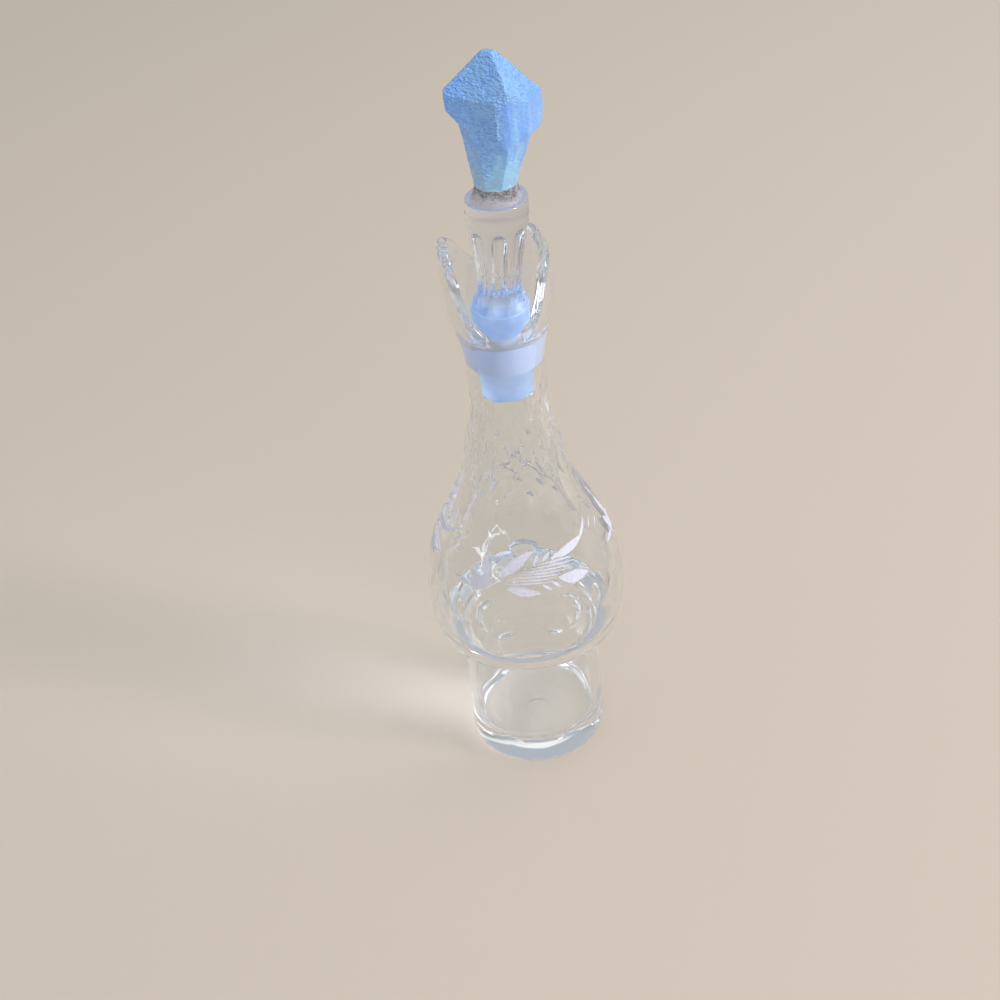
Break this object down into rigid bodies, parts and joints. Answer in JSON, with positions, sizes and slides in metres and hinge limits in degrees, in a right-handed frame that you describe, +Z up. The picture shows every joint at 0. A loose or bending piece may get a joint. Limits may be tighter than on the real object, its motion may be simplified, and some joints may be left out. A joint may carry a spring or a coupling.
{
  "type": "carafe with stopper",
  "caption": "Clear glass carafe with a round bulb on a straight foot, a scale-cut neck, a mouth with raised ears and dips, and a lift-out stopper with a fluted shank and faceted knob.",
  "frame": {"origin": "centre of the foot's underside, on the surface that the carafe stands on", "axes": "+Z up along the bottle's axis; the deeper dip of the mouth faces -Y and the taller ear stands at -X"},
  "size_m": [0.053, 0.053, 0.2046],
  "materials": {
    "bottle_glass": "clear colourless blown glass, polished, with cut scales and hollows, matte engraved leaves on the bulb and a ground seat in the neck",
    "stopper_glass": "solid clear glass with a frosted ground plug, a polished fluted shank and a hand-ground, softly rippled knob"
  },
  "bodies": {
    "bottle": {"bottle": "bottle_glass"},
    "stopper": {"stopper": "stopper_glass"}
  },
  "joints": [
    {"name": "stopper_lift", "type": "slide", "parent": "bottle", "child": "stopper", "axis": [0, 0, 1], "range_m": [0, 0.06]}
  ]
}
